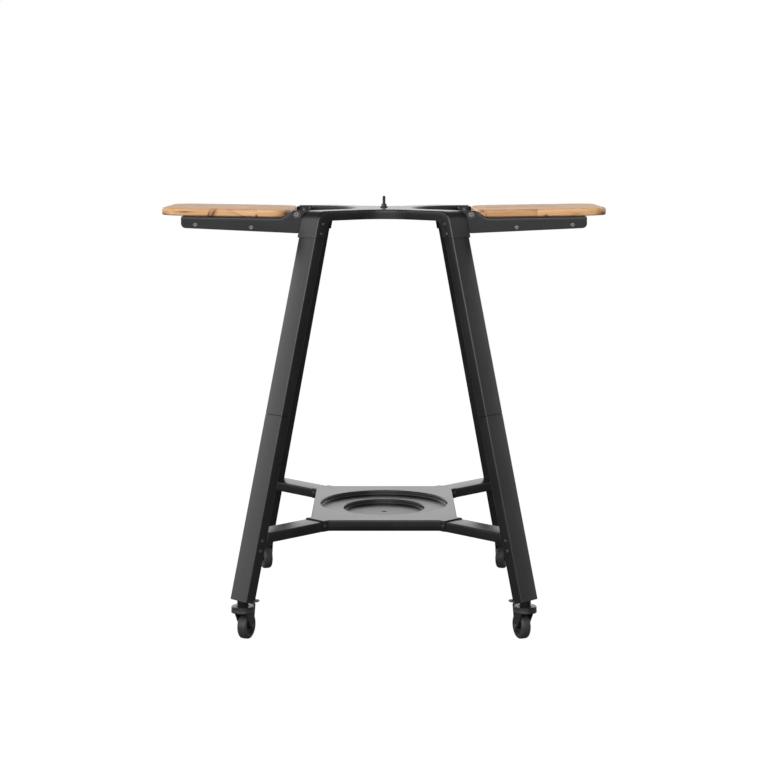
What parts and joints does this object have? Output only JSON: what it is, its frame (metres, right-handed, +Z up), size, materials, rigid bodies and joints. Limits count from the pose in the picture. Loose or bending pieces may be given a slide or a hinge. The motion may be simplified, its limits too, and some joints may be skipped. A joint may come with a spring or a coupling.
{
  "type": "pizza oven stand",
  "caption": "Wheeled black steel stand for a tabletop pizza oven, with splayed legs, a gas bottle shelf and folding wooden side shelves",
  "frame": {"origin": "middle of the footprint, on the floor", "axes": "+X to the right along the side shelves, -Y to the front, +Z up"},
  "size_m": [1.1022, 0.8312, 1.057],
  "materials": {
    "black_steel": "satin powder coat",
    "wood": "oiled",
    "dark_bolt": "blackened",
    "bright_steel": "zinc plated",
    "rubber": "matte"
  },
  "bodies": {
    "stand": {"top_frame": "black_steel", "locating_stud": "bright_steel", "stud_nut": "dark_bolt", "lower_shelf": "black_steel", "upper_leg_front_left": "black_steel", "lower_leg_front_left": "black_steel", "leg_joiner_front_left": "black_steel", "leg_plug_front_left": "rubber", "shelf_arm_front_left": "black_steel", "caster_stem_front_left": "dark_bolt", "upper_leg_front_right": "black_steel", "lower_leg_front_right": "black_steel", "leg_joiner_front_right": "black_steel", "leg_plug_front_right": "rubber", "shelf_arm_front_right": "black_steel", "caster_stem_front_right": "dark_bolt", "upper_leg_rear_right": "black_steel", "lower_leg_rear_right": "black_steel", "leg_joiner_rear_right": "black_steel", "leg_plug_rear_right": "rubber", "shelf_arm_rear_right": "black_steel", "caster_stem_rear_right": "dark_bolt", "upper_leg_rear_left": "black_steel", "lower_leg_rear_left": "black_steel", "leg_joiner_rear_left": "black_steel", "leg_plug_rear_left": "rubber", "shelf_arm_rear_left": "black_steel", "caster_stem_rear_left": "dark_bolt", "pivot_bolt_front_left": "dark_bolt", "pivot_bolt_rear_left": "dark_bolt", "pivot_bolt_front_right": "dark_bolt", "pivot_bolt_rear_right": "dark_bolt"},
    "left_shelf": {"shelf_board_left": "wood", "shelf_bracket_front_left": "black_steel", "shelf_bracket_rear_left": "black_steel", "cross_rail_inner_left": "black_steel", "cross_rail_outer_left": "black_steel"},
    "right_shelf": {"shelf_board_right": "wood", "shelf_bracket_front_right": "black_steel", "shelf_bracket_rear_right": "black_steel", "cross_rail_inner_right": "black_steel", "cross_rail_outer_right": "black_steel"},
    "fork_front_left": {"caster_fork_front_left": "black_steel", "caster_axle_front_left": "dark_bolt"},
    "wheel_front_left": {"caster_wheel_front_left": "rubber"},
    "pedal_front_left": {"brake_pedal_front_left": "rubber"},
    "fork_front_right": {"caster_fork_front_right": "black_steel", "caster_axle_front_right": "dark_bolt"},
    "wheel_front_right": {"caster_wheel_front_right": "rubber"},
    "pedal_front_right": {"brake_pedal_front_right": "rubber"},
    "fork_rear_right": {"caster_fork_rear_right": "black_steel", "caster_axle_rear_right": "dark_bolt"},
    "wheel_rear_right": {"caster_wheel_rear_right": "rubber"},
    "pedal_rear_right": {"brake_pedal_rear_right": "rubber"},
    "fork_rear_left": {"caster_fork_rear_left": "black_steel", "caster_axle_rear_left": "dark_bolt"},
    "wheel_rear_left": {"caster_wheel_rear_left": "rubber"},
    "pedal_rear_left": {"brake_pedal_rear_left": "rubber"}
  },
  "joints": [
    {"name": "left_shelf_fold", "type": "hinge", "parent": "stand", "child": "left_shelf", "pos_m": [-0.213, 0, 1.016], "axis": [0, 1, 0], "range_deg": [0, 85]},
    {"name": "right_shelf_fold", "type": "hinge", "parent": "stand", "child": "right_shelf", "pos_m": [0.213, 0, 1.016], "axis": [0, -1, 0], "range_deg": [0, 85]},
    {"name": "caster_swivel_front_left", "type": "hinge", "parent": "stand", "child": "fork_front_left", "pos_m": [-0.34019, -0.38519, 0.09], "axis": [0, 0, 1], "continuous": true},
    {"name": "wheel_spin_front_left", "type": "hinge", "parent": "fork_front_left", "child": "wheel_front_left", "pos_m": [-0.33335, -0.3664, 0.0325], "axis": [-0.9397, 0.342, 0], "continuous": true},
    {"name": "brake_press_front_left", "type": "hinge", "parent": "fork_front_left", "child": "pedal_front_left", "pos_m": [-0.32856, -0.35324, 0.08], "axis": [-0.9397, 0.342, 0], "range_deg": [0, 20]},
    {"name": "caster_swivel_front_right", "type": "hinge", "parent": "stand", "child": "fork_front_right", "pos_m": [0.34019, -0.38519, 0.09], "axis": [0, 0, 1], "continuous": true},
    {"name": "wheel_spin_front_right", "type": "hinge", "parent": "fork_front_right", "child": "wheel_front_right", "pos_m": [0.33335, -0.3664, 0.0325], "axis": [-0.9397, -0.342, 0], "continuous": true},
    {"name": "brake_press_front_right", "type": "hinge", "parent": "fork_front_right", "child": "pedal_front_right", "pos_m": [0.32856, -0.35324, 0.08], "axis": [-0.9397, -0.342, 0], "range_deg": [0, 20]},
    {"name": "caster_swivel_rear_right", "type": "hinge", "parent": "stand", "child": "fork_rear_right", "pos_m": [0.34019, 0.38519, 0.09], "axis": [0, 0, 1], "continuous": true},
    {"name": "wheel_spin_rear_right", "type": "hinge", "parent": "fork_rear_right", "child": "wheel_rear_right", "pos_m": [0.33335, 0.3664, 0.0325], "axis": [0.9397, -0.342, 0], "continuous": true},
    {"name": "brake_press_rear_right", "type": "hinge", "parent": "fork_rear_right", "child": "pedal_rear_right", "pos_m": [0.32856, 0.35324, 0.08], "axis": [0.9397, -0.342, 0], "range_deg": [0, 20]},
    {"name": "caster_swivel_rear_left", "type": "hinge", "parent": "stand", "child": "fork_rear_left", "pos_m": [-0.34019, 0.38519, 0.09], "axis": [0, 0, 1], "continuous": true},
    {"name": "wheel_spin_rear_left", "type": "hinge", "parent": "fork_rear_left", "child": "wheel_rear_left", "pos_m": [-0.33335, 0.3664, 0.0325], "axis": [0.9397, 0.342, 0], "continuous": true},
    {"name": "brake_press_rear_left", "type": "hinge", "parent": "fork_rear_left", "child": "pedal_rear_left", "pos_m": [-0.32856, 0.35324, 0.08], "axis": [0.9397, 0.342, 0], "range_deg": [0, 20]}
  ]
}
